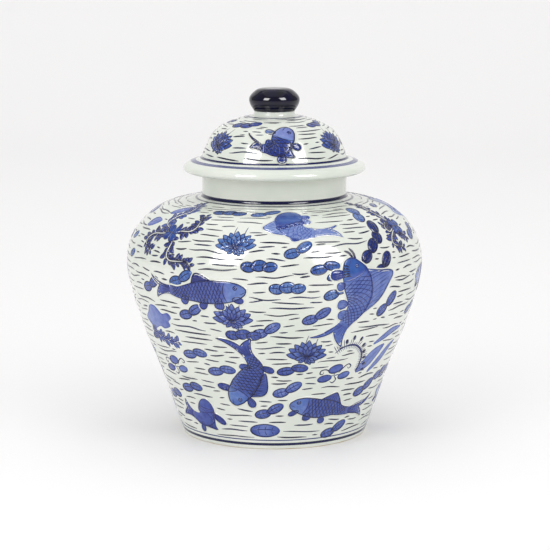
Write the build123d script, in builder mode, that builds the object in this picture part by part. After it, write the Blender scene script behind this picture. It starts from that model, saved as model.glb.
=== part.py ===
"""Lidded porcelain ginger jar.

A wide-shouldered jar with a short straight neck stands on a turned foot ring. Its domed lid
has a broad brim that rests on the neck's rim, and a locating collar that drops into the neck.
A hollow, flattened knob is luted to the lid's stem, with a vent through the stem so that no
air is shut inside it. Four clay pieces: the jar, the lid's dome, its collar and its knob.
The lid lifts straight off.

Frame: +Z is up along the axis of the wheel, and the origin is the centre of the foot ring's
standing face. Sizes are in millimetres. Every section is drawn as radius across and height up,
and turned about +Z.
"""

import os
from build123d import *

# Jar
foot_radius = 79.8
belly_radius = 128.3
belly_height = 154.0
shoulder_height = 207.2
neck_radius = 62.6
rim_height = 228.0
wall = 5.0
neck_wall = 5.5
floor_thickness = 7.0
foot_ring_width = 7.0
foot_recess = 5.0
foot_edge_radius = 1.8
rim_edge_radius = 1.5
neck_root_radius = 2.5
neck_inner_radius = 4.0
floor_corner_radius = 12.0
foot_flare = 0.33  # how far the wall leans out per unit of height, where it leaves the foot
# The lower wall from the foot to the belly: shares of the radius and of the height gained
hip_shares = ((0.437, 0.400), (0.726, 0.633))
# The shoulder from the belly to the neck: shares of the radius lost and of the height gained
shoulder_shares = ((0.080, 0.381), (0.424, 0.815))
shoulder_slope = 0.32  # height gained per unit of radius lost, where the shoulder meets the neck

# Lid, with heights above the rim that it rests on
collar_clearance = 2.0
collar_wall = 4.5
collar_depth = 14.0
collar_edge_radius = 1.2
brim_reach = 16.4  # how far the brim's edge stands out past the neck
brim_width = 16.1  # from the dome out to the brim's edge
brim_overhang = 4.5  # how far the brim's edge stands out past its flat underside
brim_edge_height = 3.3
brim_shelf_width = 7.9  # from the brim's edge in to where its top flattens
brim_shelf_height = 9.9
dome_base_height = 12.5
dome_base_fillet = 1.6
dome_height = 49.0
dome_wall = 4.6
# The dome from its base to the stem: shares of the radius lost and of the height gained
dome_shares = ((0.088, 0.285), (0.266, 0.638), (0.569, 0.858))
dome_base_lean = -0.15  # radius gained per unit of height, where the dome leaves its base
dome_top_slope = 0.17  # height gained per unit of radius lost, where the dome meets the stem

# Stem and knob
stem_radius = 17.5
stem_height = 3.4
stem_fillet = 2.6
vent_radius = 3.0
spigot_radius = 8.0
spigot_depth = 2.5
spigot_clearance = 0.2
knob_radius = 21.9
knob_height = 19.6
knob_equator_height = 9.8
knob_wall = 4.5
knob_flank_lean = 0.75  # radius gained per unit of height, where the knob leaves the stem
# The knob's crown from its equator to its top: shares of the radius lost and of the height gained
crown_shares = ((0.26, 0.80),)

# Places that the sizes above settle
recess_radius = foot_radius - foot_ring_width
floor_height = foot_recess + floor_thickness
throat_radius = neck_radius - neck_wall
collar_outer_radius = throat_radius - collar_clearance
collar_inner_radius = collar_outer_radius - collar_wall
brim_radius = neck_radius + brim_reach
dome_radius = brim_radius - brim_width
dome_base = rim_height + dome_base_height
dome_top = rim_height + dome_height
knob_seat = dome_top + stem_height
socket_radius = spigot_radius + spigot_clearance
socket_floor = knob_seat - spigot_depth - spigot_clearance
knob_equator = knob_seat + knob_equator_height
knob_top = knob_seat + knob_height
knob_inner_top = knob_top - knob_wall
knob_inner_radius = knob_radius - knob_wall
knob_floor = knob_seat + knob_wall


def between(start, end, shares):
    """The points at the given shares of the way from one point to another, across and up."""
    across = end[0] - start[0]
    up = end[1] - start[1]
    return [(start[0] + share * across, start[1] + rise * up) for share, rise in shares]


def hips(inset):
    """The points of the jar's wall between its foot and its belly, moved in towards the axis."""
    foot = (foot_radius - inset, 0)
    belly = (belly_radius - inset, belly_height)
    return [*between(foot, belly, hip_shares), belly]


def shoulder():
    """The shoulder's curve from the belly up and over to the foot of the neck."""
    belly = (belly_radius, belly_height)
    root = (neck_radius, shoulder_height)
    leans = ((0, 1), (-1, shoulder_slope))
    return Spline(belly, *between(belly, root, shoulder_shares), root, tangents=leans)


def moved_in(curve, inset, count=7):
    """A curve that stays a set distance inside another, on the left of its way."""
    points = []
    for i in range(count):
        share = i / (count - 1)
        lean = curve % share
        points.append((curve @ share) + Vector(-lean.Y, lean.X) * inset)
    return Spline(*points, tangents=(curve % 0, curve % 1))


def dome_arch(inset):
    """The dome's arch from its base up to the stem, moved in by the thickness of its wall."""
    base = (dome_radius - inset, dome_base)
    top = (stem_radius, dome_top - inset)
    leans = ((dome_base_lean, 1), (-1, dome_top_slope))
    return Spline(base, *between(base, top, dome_shares), top, tangents=leans)


def crown(radius, top):
    """The upper half of the knob, from its equator to the axis."""
    equator = (radius, knob_equator)
    peak = (0, top)
    return Spline(equator, *between(equator, peak, crown_shares), peak, tangents=((0, 1), (-1, 0)))


def corner(section, radius, height):
    """The corner of a section that lies nearest to a radius and a height."""
    return section.vertices().sort_by_distance((radius, height))[0]


# Jar: one turned wall, with a recess under the foot
with BuildPart() as jar_body:
    with BuildSketch(Plane.XZ) as jar_section:
        with BuildLine():
            foot = (foot_radius, 0)
            outer_wall = Spline(foot, *hips(0), tangents=((foot_flare, 1), (0, 1)))
            outer_shoulder = shoulder()
            floor_edge = (foot_radius - wall + foot_flare * floor_height, floor_height)
            inner_wall = Spline(floor_edge, *hips(wall), tangents=((foot_flare, 1), (0, 1)))
            inner_shoulder = moved_in(outer_shoulder, wall)
            inner_root = inner_shoulder @ 1
            ceiling = inner_root.Y + shoulder_slope * (inner_root.X - throat_radius)
            Polyline(
                outer_shoulder @ 1,
                (neck_radius, rim_height),
                (throat_radius, rim_height),
                (throat_radius, ceiling),
                inner_root,
            )
            Polyline(
                floor_edge,
                (0, floor_height),
                (0, foot_recess),
                (recess_radius, foot_recess),
                (recess_radius, 0),
                foot,
            )
        make_face()
        fillet(corner(jar_section, neck_radius, shoulder_height), neck_root_radius)
        fillet(corner(jar_section, throat_radius, ceiling), neck_inner_radius)
        fillet(corner(jar_section, *floor_edge), floor_corner_radius)
        for radius in (neck_radius, throat_radius):
            fillet(corner(jar_section, radius, rim_height), rim_edge_radius)
        for radius in (foot_radius, recess_radius):
            fillet(corner(jar_section, radius, 0), foot_edge_radius)
    revolve(axis=Axis.Z)
jar_body.part.label = "jar_body"

# Lid: brim, dome and stem, thrown in one, with a vented socket for the knob
with BuildPart() as lid_dome:
    with BuildSketch(Plane.XZ) as lid_section:
        with BuildLine():
            underside = (brim_radius - brim_overhang, rim_height)
            shelf = (brim_radius - brim_shelf_width, rim_height + brim_shelf_height)
            shelf_rise = (dome_base - shelf[1]) / (shelf[0] - dome_radius)
            Spline(
                underside,
                (brim_radius, rim_height + brim_edge_height),
                shelf,
                tangents=((1, 0), (0, 1), (-1, shelf_rise)),
            )
            outer_arch = dome_arch(0)
            Line(shelf, outer_arch @ 0)
            inner_arch = dome_arch(dome_wall)
            Polyline(
                outer_arch @ 1,
                (stem_radius, knob_seat),
                (socket_radius, knob_seat),
                (socket_radius, socket_floor),
                (vent_radius, socket_floor),
                (vent_radius, dome_top - dome_wall),
                inner_arch @ 1,
            )
            Polyline(inner_arch @ 0, (collar_inner_radius, rim_height), underside)
        make_face()
        fillet(corner(lid_section, dome_radius, dome_base), dome_base_fillet)
        fillet(corner(lid_section, stem_radius, dome_top), stem_fillet)
    revolve(axis=Axis.Z)
lid_dome.part.label = "lid_dome"

# Collar: the ring under the brim that keeps the lid centred in the neck
with BuildPart() as lid_collar:
    with BuildSketch(Plane.XY.offset(rim_height)):
        Circle(collar_outer_radius)
        Circle(collar_inner_radius, mode=Mode.SUBTRACT)
    extrude(amount=-collar_depth)
    fillet(lid_collar.faces().sort_by(Axis.Z)[0].edges(), collar_edge_radius)
lid_collar.part.label = "lid_collar"

# Knob: hollow, with a spigot that seats in the stem's socket
with BuildPart() as lid_knob:
    with BuildSketch(Plane.XZ):
        with BuildLine():
            spigot_end = knob_seat - spigot_depth
            seat_edge = (stem_radius, knob_seat)
            Spline(seat_edge, (knob_radius, knob_equator), tangents=((knob_flank_lean, 1), (0, 1)))
            crown(knob_radius, knob_top)
            Line((0, knob_top), (0, knob_inner_top))
            crown(knob_inner_radius, knob_inner_top)
            Polyline(
                (knob_inner_radius, knob_equator),
                (stem_radius - knob_wall, knob_floor),
                (vent_radius, knob_floor),
                (vent_radius, spigot_end),
                (spigot_radius, spigot_end),
                (spigot_radius, knob_seat),
                seat_edge,
            )
        make_face()
    revolve(axis=Axis.Z)
lid_knob.part.label = "lid_knob"

os.makedirs("parts", exist_ok=True)
export_step(jar_body.part, "parts/jar_body.step")
export_step(lid_dome.part, "parts/lid_dome.step")
export_step(lid_collar.part, "parts/lid_collar.step")
export_step(lid_knob.part, "parts/lid_knob.step")
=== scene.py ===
import math
import random
import bpy
import numpy
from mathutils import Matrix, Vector
from mathutils.geometry import delaunay_2d_cdt


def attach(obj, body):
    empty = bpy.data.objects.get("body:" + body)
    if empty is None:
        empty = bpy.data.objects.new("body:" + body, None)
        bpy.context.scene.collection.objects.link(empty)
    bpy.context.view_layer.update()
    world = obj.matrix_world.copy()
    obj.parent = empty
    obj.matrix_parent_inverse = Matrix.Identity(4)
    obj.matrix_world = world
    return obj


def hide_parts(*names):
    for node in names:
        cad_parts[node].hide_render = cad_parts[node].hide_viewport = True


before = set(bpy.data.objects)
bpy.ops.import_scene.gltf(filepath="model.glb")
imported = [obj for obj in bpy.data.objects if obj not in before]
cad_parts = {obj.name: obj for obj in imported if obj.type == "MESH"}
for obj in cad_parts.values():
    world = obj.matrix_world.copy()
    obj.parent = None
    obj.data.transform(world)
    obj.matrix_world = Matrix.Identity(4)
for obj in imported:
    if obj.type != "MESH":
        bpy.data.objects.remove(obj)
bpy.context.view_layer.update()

mm = 0.001
print("frame loaded")

# Sizes are in millimetres and angles in degrees. Turn 0 is the painted front, towards -Y, and
# a wall's along is the way up its outside, measured on the clay.


def cleanHex(code):
    # sRGB hex to the linear colour that shaders take
    channels = [int(code[i:i + 2], 16) / 255 for i in (1, 3, 5)]
    return tuple(c / 12.92 if c <= 0.04045 else ((c + 0.055) / 1.055) ** 2.4 for c in channels) + (1,)


def addNode(tree, kind, inputs=(), **settings):
    # one node with its settings, and its inputs, in order or by name, set to values or linked to
    # sockets; another node stands for its first output
    node = tree.nodes.new(kind)
    for name, value in settings.items():
        setattr(node, name, value)
    for name, value in (inputs.items() if isinstance(inputs, dict) else enumerate(inputs)):
        if isinstance(value, bpy.types.Node):
            value = value.outputs[0]
        if isinstance(value, bpy.types.NodeSocket):
            tree.links.new(value, node.inputs[name])
        else:
            node.inputs[name].default_value = value
    return node


# ---- clay profiles ----

jar = {
    "foot": 79.8, "belly": 128.3, "bellyUp": 154.0, "neck": 62.6, "rimUp": 228.0, "shoulderUp": 207.2,
    "wall": 5.0, "neckWall": 5.5, "floorUp": 12.0, "recess": 72.8, "recessUp": 5.0, "flare": 0.33,
    "hips": ((0.437, 0.400), (0.726, 0.633)), "shoulders": ((0.080, 0.381), (0.424, 0.815)), "slope": 0.32,
    "footRound": 1.8, "rimRound": 1.5, "neckRoot": 2.5, "neckInside": 4.0, "floorRound": 12.0,
    "recessRound": 1.2, "neckRings": (214.0, 221.0), "rimSeam": 2.2, "footSeams": (3.2, 3.0), "segments": 288,
}
lid = {
    "brim": 79.0, "underside": 74.5, "edgeUp": 231.3, "shelf": 71.1, "shelfUp": 237.9,
    "dome": 62.9, "domeUp": 240.5, "wall": 4.6, "stem": 17.5, "stemUp": 277.0, "seatUp": 280.4,
    "hips": ((0.088, 0.285), (0.266, 0.638), (0.569, 0.858)), "baseLean": -0.15, "topSlope": 0.17,
    "collarInside": 50.6, "socket": 8.2, "socketUp": 277.7, "vent": 3.0,
    "baseRound": 1.6, "stemRound": 2.6, "seatRound": 0.4, "insideRound": 6.0, "undersideSeam": 8,
    "collarWall": 4.5, "collarDown": 214.0, "collarRound": 1.2, "collarSegments": 192, "segments": 256,
}
knob = {
    "radius": 21.9, "equatorUp": 290.2, "topUp": 300.0, "spigot": 8.0, "spigotUp": 277.9,
    "flankLean": 0.75, "crown": ((0.26, 0.80),), "seatRound": 0.5, "segments": 160,
}


def corners(*points):
    return [Vector(point) for point in points]


def between(start, end, shares):
    across, up = end[0] - start[0], end[1] - start[1]
    return [(start[0] + a * across, start[1] + b * up) for a, b in shares]


def bentPath(points, startLean, endLean, steps):
    # a smooth curve through the points that leaves and arrives along the given leans
    points = corners(*points)
    spans = [(b - a).length for a, b in zip(points, points[1:])]
    leans = [Vector(startLean).normalized()]
    for i in range(1, len(points) - 1):
        before = (points[i] - points[i - 1]) / spans[i - 1]
        after = (points[i + 1] - points[i]) / spans[i]
        leans.append((before * spans[i] + after * spans[i - 1]) / (spans[i] + spans[i - 1]))
    leans.append(Vector(endLean).normalized())
    path = []
    for i, span in enumerate(spans):
        for k in range(steps):
            t = k / steps
            path.append(
                points[i] * (2 * t**3 - 3 * t * t + 1) + leans[i] * span * (t**3 - 2 * t * t + t)
                + points[i + 1] * (3 * t * t - 2 * t**3) + leans[i + 1] * span * (t**3 - t * t)
            )
    return path + [points[-1]]


def roundCorner(path, spot, radius, steps=6):
    # replaces the path's corner nearest to spot with a round of the given radius
    corner = min(range(1, len(path) - 1), key=lambda i: (path[i] - Vector(spot)).length)
    turn = (path[corner] - path[corner - 1]).angle(path[corner + 1] - path[corner])
    reach = radius * math.tan(turn / 2)

    def cut(direction):
        i, left = corner, reach
        while (path[i + direction] - path[i]).length < left:
            left -= (path[i + direction] - path[i]).length
            i += direction
        return i + direction, path[i] + (path[i + direction] - path[i]).normalized() * left

    (last, start), (first, end) = cut(-1), cut(1)
    arc = []
    for k in range(steps + 1):
        t = k / steps
        arc.append(start * (1 - t) ** 2 + path[corner] * 2 * t * (1 - t) + end * t * t)
    return path[:last + 1] + arc + path[first:]


def roundCorners(path, *rounds):
    for spot, radius, *steps in rounds:
        path = roundCorner(path, spot, radius, *steps)
    return path


def jarLow(inset, bottomUp):
    # the wall from bottomUp to the belly, moved in towards the axis
    foot = (jar["foot"] - inset + jar["flare"] * bottomUp, bottomUp)
    belly = (jar["belly"] - inset, jar["bellyUp"])
    low = between((jar["foot"] - inset, 0), belly, jar["hips"])
    return bentPath([foot, *low, belly], (jar["flare"], 1), (0, 1), 24)


def jarShoulder(inset):
    # from the belly up and over to the neck's foot, moved in by the thickness of the wall
    belly, root = (jar["belly"], jar["bellyUp"]), (jar["neck"], jar["shoulderUp"])
    path = bentPath([belly, *between(belly, root, jar["shoulders"]), root], (0, 1), (-1, jar["slope"]), 18)
    moved = []
    for i, point in enumerate(path):
        ahead = (path[min(i + 1, len(path) - 1)] - path[max(i - 1, 0)]).normalized()
        moved.append(point + Vector((-ahead.y, ahead.x)) * inset)
    return moved


def jarOutside():
    start = Vector((jar["foot"] - jar["footSeams"][1], 0))
    path = [start, *jarLow(0, 0), *jarShoulder(0)[1:]]
    path += corners(*((jar["neck"], up) for up in (*jar["neckRings"], jar["rimUp"])))
    path += corners((jar["neck"] - jar["rimSeam"], jar["rimUp"]))
    return roundCorners(
        path,
        ((jar["foot"], 0), jar["footRound"]),
        ((jar["neck"], jar["shoulderUp"]), jar["neckRoot"]),
        ((jar["neck"], jar["rimUp"]), jar["rimRound"]),
    )


def jarProfile():
    throat = jar["neck"] - jar["neckWall"]
    shoulder = jarShoulder(jar["wall"])
    ceiling = shoulder[-1].y + jar["slope"] * (shoulder[-1].x - throat)
    inside = corners((throat + jar["rimSeam"], jar["rimUp"]), (throat, jar["rimUp"]), (throat, ceiling))
    inside += shoulder[::-1] + jarLow(jar["wall"], jar["floorUp"])[-2::-1]
    inside += corners((0, jar["floorUp"]))
    floorEdge = (jar["foot"] - jar["wall"] + jar["flare"] * jar["floorUp"], jar["floorUp"])
    inside = roundCorners(
        inside,
        ((throat, jar["rimUp"]), jar["rimRound"]),
        ((throat, ceiling), jar["neckInside"]),
        (floorEdge, jar["floorRound"], 10),
    )
    top, edge = (jar["recess"], jar["recessUp"]), (jar["recess"], 0)
    under = corners((0, jar["recessUp"]), top, edge, (jar["foot"] - jar["footSeams"][0], 0))
    under = roundCorners(under, (top, jar["recessRound"]), (edge, jar["footRound"]))
    return under + jarOutside() + inside


def domeArch(inset):
    base = (lid["dome"] - inset, lid["domeUp"])
    top = (lid["stem"], lid["stemUp"] - inset)
    points = [base, *between(base, top, lid["hips"]), top]
    return bentPath(points, (lid["baseLean"], 1), (-1, lid["topSlope"]), 16)


def lidOutside():
    # from the brim's underside out over its edge and up the dome to the knob's seat
    rise = (lid["domeUp"] - lid["shelfUp"]) / (lid["shelf"] - lid["dome"])
    low, edge = (lid["underside"], jar["rimUp"]), (lid["brim"], lid["edgeUp"])
    shelf, seat = (lid["shelf"], lid["shelfUp"]), (lid["stem"], lid["seatUp"])
    path = bentPath([low, edge], (1, 0), (0, 1), 10) + bentPath([edge, shelf], (0, 1), (-1, rise), 14)[1:]
    path += domeArch(0) + corners(seat, (lid["socket"], lid["seatUp"]))
    return roundCorners(
        path,
        ((lid["dome"], lid["domeUp"]), lid["baseRound"]),
        ((lid["stem"], lid["stemUp"]), lid["stemRound"]),
        (seat, lid["seatRound"], 4),
    )


def lidProfile():
    start = (lid["collarInside"], jar["rimUp"])
    path = corners(start, (lid["underside"] - lid["undersideSeam"], jar["rimUp"])) + lidOutside()
    path += corners(
        (lid["socket"], lid["socketUp"]), (lid["vent"], lid["socketUp"]),
        (lid["vent"], lid["stemUp"] - lid["wall"]),
    )
    path += domeArch(lid["wall"])[::-1] + corners(start)
    return roundCorner(path, (lid["dome"] - lid["wall"], lid["domeUp"]), lid["insideRound"])


def collarProfile():
    # the ring under the lid that drops inside the jar's neck
    inside, low, top = lid["collarInside"], lid["collarDown"], jar["rimUp"]
    outside = inside + lid["collarWall"]
    path = corners((inside, top), (inside, low), (outside, low), (outside, top), (inside, top))
    return roundCorners(path, ((inside, low), lid["collarRound"]), ((outside, low), lid["collarRound"]))


def knobProfile():
    seat, equator = (lid["stem"], lid["seatUp"]), (knob["radius"], knob["equatorUp"])
    peak = (0, knob["topUp"])
    path = corners((0, knob["spigotUp"]), (knob["spigot"], knob["spigotUp"]), (knob["spigot"], lid["seatUp"]))
    path += bentPath([seat, equator], (knob["flankLean"], 1), (0, 1), 16)
    crown = [equator, *between(equator, peak, knob["crown"]), peak]
    path += bentPath(crown, (0, 1), (-1, 0), 16)[1:]
    return roundCorner(path, seat, knob["seatRound"], 4)


# ---- clay turned on the wheel, by geometry nodes ----


def newTree(name, sockets):
    tree = bpy.data.node_groups.new(name, "GeometryNodeTree")
    tree.interface.new_socket("Geometry", in_out="INPUT", socket_type="NodeSocketGeometry")
    for label, kind in sockets:
        tree.interface.new_socket(label, in_out="INPUT", socket_type="NodeSocket" + kind)
    tree.interface.new_socket("Geometry", in_out="OUTPUT", socket_type="NodeSocketGeometry")
    return tree, addNode(tree, "NodeGroupInput").outputs, addNode(tree, "NodeGroupOutput")


def wheelTree():
    # turns a profile of points about Z: across is the turn, and up is the profile's points in order
    tree, given, result = newTree("turnedOnWheel", (
        ("Segments", "Int"), ("Rings", "Int"), ("Glaze", "Material"), ("Bare clay", "Material"),
    ))
    seamGap, sharpTurn, mostlyBare = 1e-6, 0.6, 0.9
    columns = addNode(tree, "ShaderNodeMath", (given["Segments"], 1), operation="ADD")
    grid = addNode(tree, "GeometryNodeMeshGrid", {
        "Size X": 1.0, "Size Y": 1.0, "Vertices X": columns, "Vertices Y": given["Rings"],
    })
    flat = addNode(tree, "ShaderNodeSeparateXYZ", (grid.outputs["UV Map"],)).outputs
    last = addNode(tree, "ShaderNodeMath", (given["Rings"], 1), operation="SUBTRACT")
    steps = addNode(tree, "ShaderNodeMath", (flat["Y"], last), operation="MULTIPLY")
    ring = addNode(tree, "ShaderNodeMath", (steps,), operation="ROUND")
    held = {
        name: addNode(tree, "GeometryNodeInputNamedAttribute", {"Name": name}, data_type="FLOAT")
        for name in ("along", "bare")
    }
    held["place"] = addNode(tree, "GeometryNodeInputPosition")
    taken = {
        name: addNode(tree, "GeometryNodeSampleIndex", {
            "Geometry": given["Geometry"], "Value": value, "Index": ring,
        }, data_type="FLOAT_VECTOR" if name == "place" else "FLOAT", domain="POINT")
        for name, value in held.items()
    }
    mapSpot = addNode(tree, "ShaderNodeCombineXYZ", (flat["X"], taken["along"]))
    mapped = addNode(tree, "GeometryNodeStoreNamedAttribute", {
        "Geometry": grid, "Name": "OFBake", "Value": mapSpot,
    }, data_type="FLOAT2", domain="CORNER")
    marked = addNode(tree, "GeometryNodeStoreNamedAttribute", {
        "Geometry": mapped, "Name": "bare", "Value": taken["bare"],
    }, data_type="FLOAT", domain="POINT")
    share = addNode(tree, "ShaderNodeMath", (flat["X"], 0.5), operation="SUBTRACT")
    angle = addNode(tree, "ShaderNodeMath", (share, math.tau), operation="MULTIPLY")
    spot = addNode(tree, "ShaderNodeSeparateXYZ", (taken["place"],)).outputs
    sine = addNode(tree, "ShaderNodeMath", (angle,), operation="SINE")
    cosine = addNode(tree, "ShaderNodeMath", (angle,), operation="COSINE")
    front = addNode(tree, "ShaderNodeMath", (cosine, -1.0), operation="MULTIPLY")
    x = addNode(tree, "ShaderNodeMath", (spot["X"], sine), operation="MULTIPLY")
    y = addNode(tree, "ShaderNodeMath", (spot["X"], front), operation="MULTIPLY")
    turned = addNode(tree, "ShaderNodeCombineXYZ", (x, y, spot["Z"]))
    thrown = addNode(tree, "GeometryNodeSetPosition", {"Geometry": marked, "Position": turned})
    closed = addNode(tree, "GeometryNodeMergeByDistance", {"Geometry": thrown, "Distance": seamGap})
    smooth = addNode(tree, "GeometryNodeSetShadeSmooth", {"Geometry": closed, "Shade Smooth": True})
    bend = addNode(tree, "GeometryNodeInputMeshEdgeAngle")
    steep = addNode(tree, "ShaderNodeMath", (bend, sharpTurn), operation="GREATER_THAN")
    creased = addNode(tree, "GeometryNodeSetShadeSmooth", {
        "Geometry": smooth, "Selection": steep, "Shade Smooth": False,
    }, domain="EDGE")
    real = addNode(tree, "GeometryNodeRealizeInstances", (creased,))
    glazed = addNode(tree, "GeometryNodeSetMaterial", {"Geometry": real, "Material": given["Glaze"]})
    wiped = addNode(tree, "ShaderNodeMath", (held["bare"], mostlyBare), operation="GREATER_THAN")
    fired = addNode(tree, "GeometryNodeSetMaterial", {
        "Geometry": glazed, "Selection": wiped, "Material": given["Bare clay"],
    })
    tree.links.new(fired.outputs[0], result.inputs[0])
    return tree


def grow(name, start, tree, values):
    # runs a tree on a mesh and keeps the result as a plain mesh object
    bench = bpy.data.objects.new(name + "Bench", start)
    bpy.context.scene.collection.objects.link(bench)
    modifier = bench.modifiers.new("grow", "NODES")
    modifier.node_group = tree
    for item in tree.interface.items_tree:
        if item.in_out == "INPUT" and item.name in values:
            modifier[item.identifier] = values[item.name]
    bpy.context.view_layer.update()
    done = bpy.data.meshes.new_from_object(bench.evaluated_get(bpy.context.evaluated_depsgraph_get()))
    bench.modifiers.remove(modifier)
    bpy.data.objects.remove(bench)
    piece = bpy.data.objects.new(name, done)
    bpy.context.scene.collection.objects.link(piece)
    print(name, len(done.polygons), "faces")
    return piece


def putAttribute(mesh, name, kind, values):
    layer = mesh.attributes.new(name, kind, "POINT")
    layer.data.foreach_set("vector" if kind == "FLOAT_VECTOR" else "value", numpy.ravel(values))


def pathLengths(path):
    lengths = [0.0]
    for a, b in zip(path, path[1:]):
        lengths.append(lengths[-1] + (b - a).length)
    return lengths


def throwPiece(name, profile, isBare, segments, tree, glaze, clay):
    start = bpy.data.meshes.new(name + "Profile")
    start.from_pydata(
        [(p.x * mm, 0, p.y * mm) for p in profile], [(i, i + 1) for i in range(len(profile) - 1)], [])
    lengths = pathLengths(profile)
    putAttribute(start, "along", "FLOAT", [v / lengths[-1] for v in lengths])
    putAttribute(start, "bare", "FLOAT", [float(isBare(p)) for p in profile])
    return grow(name, start, tree, {
        "Segments": segments, "Rings": len(profile), "Glaze": glaze, "Bare clay": clay,
    })


# ---- materials ----

# hard-paste porcelain under a clear glaze, dipped: a cool, faintly green white with a wet gloss,
# a little uneven where the glaze pooled, over the soft rings that the potter's fingers left
glazeLook = {"white": "#e6e9e1", "pool": "#d8ded4", "poolSize": 70.0, "ringSpacing": 7.0, "peelSize": 5.0}
# cobalt oxide brushed on under the glaze: a pale grey-blue wash that deepens to ink where the brush
# stopped, mottled where the pigment gathered
cobaltSteps = (
    (0.0, "#e4e7de"), (0.12, "#aab4d6"), (0.3, "#7a88c2"), (0.5, "#4d5dab"),
    (0.7, "#2f3c8f"), (0.85, "#1b2470"), (1.0, "#0c0f40"),
)
freshSteps = (
    (0.0, "#e4e7de"), (0.12, "#a5bedd"), (0.3, "#6f93c8"), (0.5, "#3c68ae"),
    (0.7, "#224594"), (0.85, "#122870"), (1.0, "#070d38"),
)
# thin liner strokes, where the oxide is watery and a little iron greys it
linerSteps = ((0.0, "#9aa0bb"), (0.5, "#4c5280"), (0.8, "#272c59"), (1.0, "#121538"))


def newMaterial(name, look):
    material = bpy.data.materials.new(name)
    material.use_nodes = True
    shader = material.node_tree.nodes["Principled BSDF"].inputs
    for label, value in look.items():
        shader[label].default_value = value
    return material, material.node_tree, shader


def driftColour(tree, place, size, span, codes, **noise):
    # a colour that wanders between two others, over patches of a size in millimetres
    drift = addNode(tree, "ShaderNodeTexNoise", {"Vector": place, "Scale": 1 / (size * mm), **noise})
    share = addNode(tree, "ShaderNodeMapRange", {"Value": drift, "From Min": span[0], "From Max": span[1]})
    mix = {"Factor": share, 6: cleanHex(codes[0]), 7: cleanHex(codes[1])}
    return addNode(tree, "ShaderNodeMix", mix, data_type="RGBA").outputs[2]


def makeGlaze():
    material, tree, shader = newMaterial("clearGlazedPorcelain", {"Roughness": 0.07, "IOR": 1.52})
    place = addNode(tree, "ShaderNodeTexCoord").outputs["Object"]
    codes = glazeLook["white"], glazeLook["pool"]
    tint = driftColour(tree, place, glazeLook["poolSize"], (0.35, 0.7), codes, Detail=3.0, Roughness=0.55)
    tree.links.new(tint, shader["Base Color"])
    bands = 3.2  # in one unit of a wave texture at scale 1
    rings = addNode(tree, "ShaderNodeTexWave", {
        "Vector": place, "Scale": 1 / (glazeLook["ringSpacing"] * mm) / bands, "Distortion": 1.2,
        "Detail": 2.0, "Detail Scale": 0.6,
    }, bands_direction="Z").outputs["Fac"]
    peel = addNode(tree, "ShaderNodeTexNoise", {
        "Vector": place, "Scale": 1 / (glazeLook["peelSize"] * mm), "Detail": 1.0,
    })
    bump = addNode(tree, "ShaderNodeBump", {"Height": rings, "Distance": 0.012 * mm, "Strength": 1.0})
    bump = addNode(tree, "ShaderNodeBump", {
        "Height": peel, "Distance": 0.02 * mm, "Strength": 1.0, "Normal": bump,
    })
    tree.links.new(bump.outputs[0], shader["Normal"])
    return material


def makeCobalt(name, steps, freshSteps, mottle, mottleSize):
    material, tree, shader = newMaterial(name, {"Roughness": 0.08, "IOR": 1.52})
    place = addNode(tree, "ShaderNodeTexCoord").outputs["Object"]
    tone = addNode(tree, "ShaderNodeAttribute", attribute_name="tone").outputs["Fac"]
    fresh = addNode(tree, "ShaderNodeAttribute", attribute_name="fresh").outputs["Fac"]
    drift = addNode(tree, "ShaderNodeTexNoise", {
        "Vector": place, "Scale": 1 / (mottleSize * mm), "Detail": 4.0, "Roughness": 0.6,
    })
    level = addNode(tree, "ShaderNodeMath", (drift, 0.5), operation="SUBTRACT")
    shade = addNode(tree, "ShaderNodeMath", (level, mottle), operation="MULTIPLY")
    shaded = addNode(tree, "ShaderNodeMath", (tone, shade), operation="ADD")
    ramps = []
    for colours in (steps, freshSteps):
        ramp = addNode(tree, "ShaderNodeValToRGB", (shaded,))
        stops = ramp.color_ramp.elements
        for i, (position, code) in enumerate(colours):
            stop = stops[i] if i < 2 else stops.new(position)
            stop.position, stop.color = position, cleanHex(code)
        ramps.append(ramp)
    ink = addNode(tree, "ShaderNodeMix", {"Factor": fresh, 6: ramps[0], 7: ramps[1]}, data_type="RGBA")
    tree.links.new(ink.outputs[2], shader["Base Color"])
    return material


def makeKnobGlaze():
    # a cobalt-saturated glaze, dipped thick: almost black, with blue where it thins
    material, tree, shader = newMaterial("cobaltBlackGlaze", {"Roughness": 0.04, "IOR": 1.46})
    place = addNode(tree, "ShaderNodeTexCoord").outputs["Object"]
    tint = driftColour(tree, place, 9, (0.35, 0.75), ("#010010", "#060430"), Detail=3.0)
    tree.links.new(tint, shader["Base Color"])
    return material


def makeBareClay():
    # porcelain fired with no glaze: dry, warm and finely gritty, where the pot stood in the kiln
    material, tree, shader = newMaterial("biscuitPorcelain", {"Roughness": 0.78})
    place = addNode(tree, "ShaderNodeTexCoord").outputs["Object"]
    tint = driftColour(tree, place, 18, (0.4, 0.7), ("#e2dccf", "#cdb89a"), Detail=2.0)
    tree.links.new(tint, shader["Base Color"])
    grit = addNode(tree, "ShaderNodeTexNoise", {"Vector": place, "Scale": 1 / (0.8 * mm), "Detail": 4.0})
    bump = addNode(tree, "ShaderNodeBump", {"Height": grit, "Distance": 0.08 * mm, "Strength": 0.7})
    tree.links.new(bump.outputs[0], shader["Normal"])
    return material


def isWiped(p):
    # the jar is bare on its standing face and on the rim, where the lid rests
    return (p.y < 0.9 and p.x > jar["recess"] - 1) or (p.y > jar["rimUp"] - 0.3 and p.x < jar["neck"] + 0.4)


glaze = makeGlaze()
bareClay = makeBareClay()
cobalt = makeCobalt("cobaltWashUnderglaze", cobaltSteps, freshSteps, 0.34, 5.0)
liner = makeCobalt("cobaltLinerUnderglaze", linerSteps, linerSteps, 0.3, 4.0)
knobGlaze = makeKnobGlaze()
wheel = wheelTree()

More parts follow.
